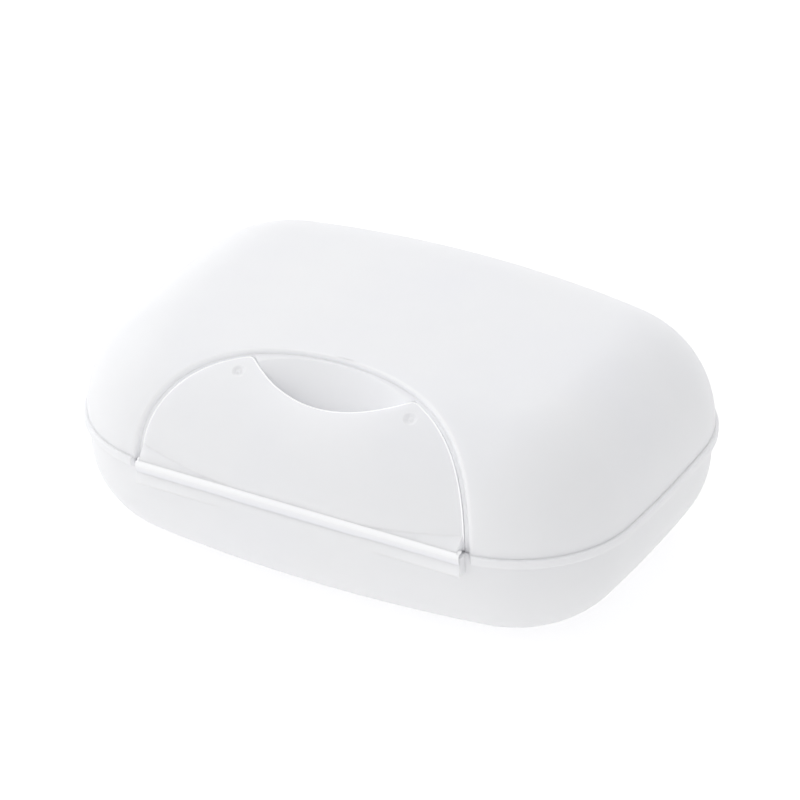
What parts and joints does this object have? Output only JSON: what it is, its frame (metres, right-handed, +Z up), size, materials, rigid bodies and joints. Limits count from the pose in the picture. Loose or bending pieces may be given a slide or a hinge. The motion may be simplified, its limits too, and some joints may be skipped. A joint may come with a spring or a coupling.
{
  "type": "travel soap box",
  "caption": "Pillow-shaped soap box of frosted plastic with a domed hinged lid, an arched front latch flap on a living hinge and a slotted lift-out drain tray.",
  "frame": {"origin": "middle of the flat underside", "axes": "+Z up, +X along the length, the latch flap faces -Y"},
  "size_m": [0.114, 0.0871, 0.045],
  "materials": {
    "frosted_shell": "frosted milky translucent polypropylene",
    "tray_plastic": "plain white polypropylene",
    "pin_steel": "drawn stainless wire"
  },
  "bodies": {
    "base": {"base_shell": "frosted_shell", "latch_hinge_web": "frosted_shell", "hinge_pin_left": "pin_steel", "hinge_pin_right": "pin_steel"},
    "lid": {"lid_shell": "frosted_shell"},
    "latch": {"latch_flap": "frosted_shell"},
    "tray": {"drain_tray": "tray_plastic"}
  },
  "joints": [
    {"name": "lid_open", "type": "hinge", "parent": "base", "child": "lid", "pos_m": [0, 0.0443, 0.0208], "axis": [-1, 0, 0], "range_deg": [0, 90]},
    {"name": "latch_open", "type": "hinge", "parent": "base", "child": "latch", "pos_m": [0, -0.0398, 0.0226], "axis": [1, 0, 0], "range_deg": [0, 153], "deforming": ["latch_hinge_web"]},
    {"name": "tray_lift", "type": "slide", "parent": "base", "child": "tray", "axis": [0, 0, 1], "range_m": [0, 0.01]}
  ],
  "couplings": [
    {"joint": "latch_open", "follows": "lid_open", "ratio": 1.7}
  ]
}
